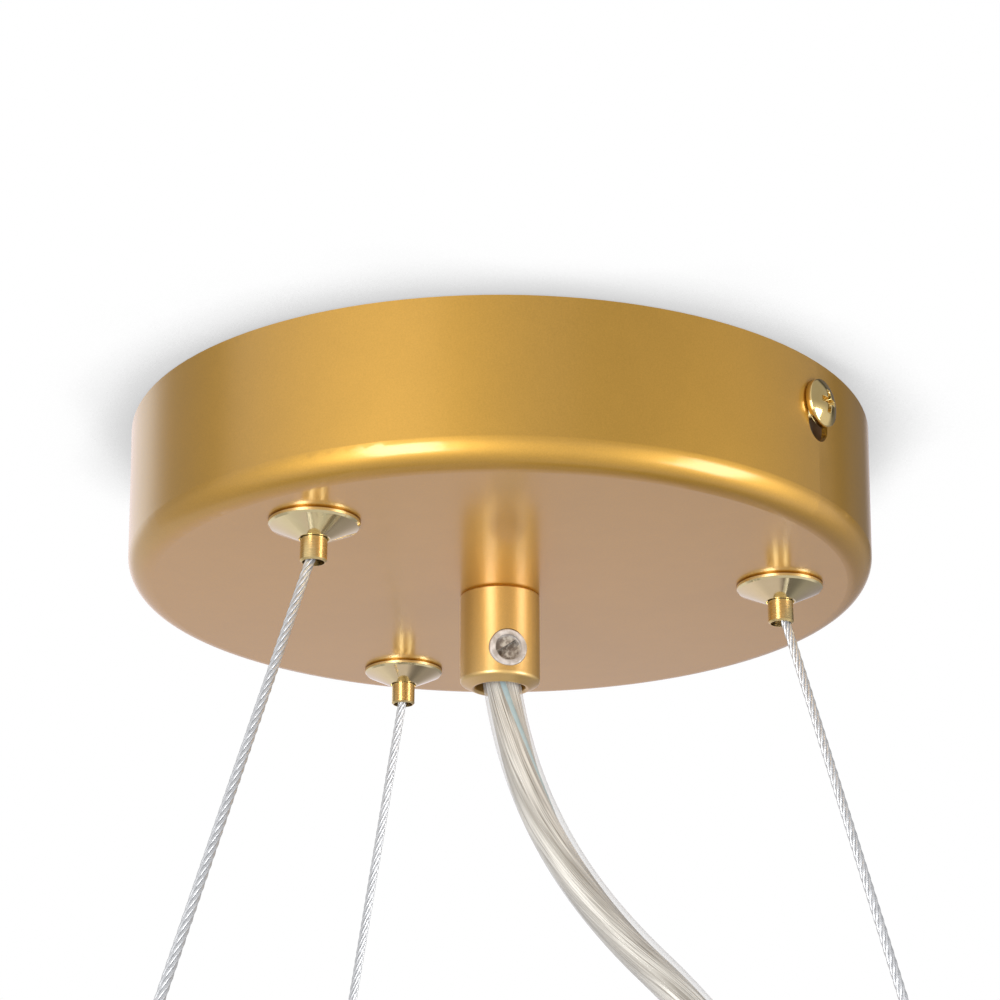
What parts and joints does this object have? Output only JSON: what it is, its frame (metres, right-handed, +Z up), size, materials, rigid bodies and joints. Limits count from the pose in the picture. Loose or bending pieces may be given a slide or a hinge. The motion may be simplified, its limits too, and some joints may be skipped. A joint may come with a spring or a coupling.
{
  "type": "pendant lamp suspension canopy",
  "caption": "Round sheet-metal ceiling canopy of a pendant lamp, with sprung wire grippers, taut suspension wires, a flex gland and a clear flex.",
  "frame": {"origin": "centre of the canopy's open rim, on the ceiling plane", "axes": "+Z up into the ceiling, +X along the ceiling bracket towards the side screw that the picture shows"},
  "size_m": [0.1411, 0.1428, 0.2123],
  "materials": {
    "gold_lacquer": "satin metallic gold lacquer with a clear coat",
    "polished_brass": "polished",
    "satin_brass": "satin",
    "zinc_steel": "zinc plated",
    "rope_steel": "drawn wire rope",
    "ball_steel": "polished",
    "clear_sheath": "clear glossy",
    "clear_nylon": "clear moulded",
    "white_plastic": "moulded",
    "brown_core": "extruded",
    "blue_core": "extruded",
    "green_core": "extruded",
    "clear_core": "clear extruded",
    "tinned_copper": "tinned",
    "tie_plastic": "moulded"
  },
  "bodies": {
    "canopy": {"canopy_cup": "gold_lacquer", "ceiling_bracket": "zinc_steel", "gland_body": "gold_lacquer", "gland_nipple": "zinc_steel", "gland_washer": "zinc_steel", "gland_nut": "zinc_steel", "terminal_housing": "white_plastic", "terminal_insert_1": "polished_brass", "terminal_insert_2": "polished_brass", "terminal_insert_3": "polished_brass", "terminal_screws": "zinc_steel", "terminal_fixing_screw": "zinc_steel", "earth_tag": "tinned_copper", "earth_screw": "zinc_steel", "earth_lead": "green_core", "flex_sheath_inner": "clear_sheath", "core_line": "brown_core", "core_neutral": "blue_core", "core_earth": "green_core", "flex_drop": "clear_sheath", "flex_coil": "clear_sheath", "flex_tail": "clear_sheath", "coil_tie": "tie_plastic", "flex_end_cores": "clear_core", "flex_end_ferrules": "tinned_copper", "gripper_body_1": "polished_brass", "gripper_nut_1": "polished_brass", "gripper_spring_1": "rope_steel", "wire_rope_1": "rope_steel", "wire_end_1": "polished_brass", "gripper_body_2": "polished_brass", "gripper_nut_2": "polished_brass", "gripper_spring_2": "rope_steel", "wire_rope_2": "rope_steel", "wire_end_2": "polished_brass", "gripper_body_3": "polished_brass", "gripper_nut_3": "polished_brass", "gripper_spring_3": "rope_steel", "wire_rope_3": "rope_steel", "wire_end_3": "polished_brass"},
    "side_screw_1": {"side_screw_1": "polished_brass"},
    "side_screw_2": {"side_screw_2": "polished_brass"},
    "clamp_screw": {"gland_clamp_screw": "clear_nylon"},
    "plunger_1": {"gripper_plunger_1": "satin_brass", "gripper_balls_1": "ball_steel"},
    "plunger_2": {"gripper_plunger_2": "satin_brass", "gripper_balls_2": "ball_steel"},
    "plunger_3": {"gripper_plunger_3": "satin_brass", "gripper_balls_3": "ball_steel"}
  },
  "joints": [
    {"name": "plunger_1_press", "type": "slide", "parent": "canopy", "child": "plunger_1", "axis": [0, 0, 1], "range_m": [0, 0.0018], "stiffness_N_per_m": 250, "springref_m": -0.002, "deforming": ["gripper_spring_1"]},
    {"name": "plunger_2_press", "type": "slide", "parent": "canopy", "child": "plunger_2", "axis": [0, 0, 1], "range_m": [0, 0.0018], "stiffness_N_per_m": 250, "springref_m": -0.002, "deforming": ["gripper_spring_2"]},
    {"name": "plunger_3_press", "type": "slide", "parent": "canopy", "child": "plunger_3", "axis": [0, 0, 1], "range_m": [0, 0.0018], "stiffness_N_per_m": 250, "springref_m": -0.002, "deforming": ["gripper_spring_3"]},
    {"name": "side_screw_1_turn", "type": "hinge", "parent": "canopy", "child": "side_screw_1", "pos_m": [0.06, 0, -0.0068], "axis": [1, 0, 0], "continuous": true},
    {"name": "side_screw_2_turn", "type": "hinge", "parent": "canopy", "child": "side_screw_2", "pos_m": [-0.06, 0, -0.0068], "axis": [-1, 0, 0], "continuous": true},
    {"name": "clamp_screw_turn", "type": "hinge", "parent": "canopy", "child": "clamp_screw", "pos_m": [0.00383, -0.00321, -0.0353], "axis": [0.766, -0.6428, 0], "continuous": true}
  ]
}
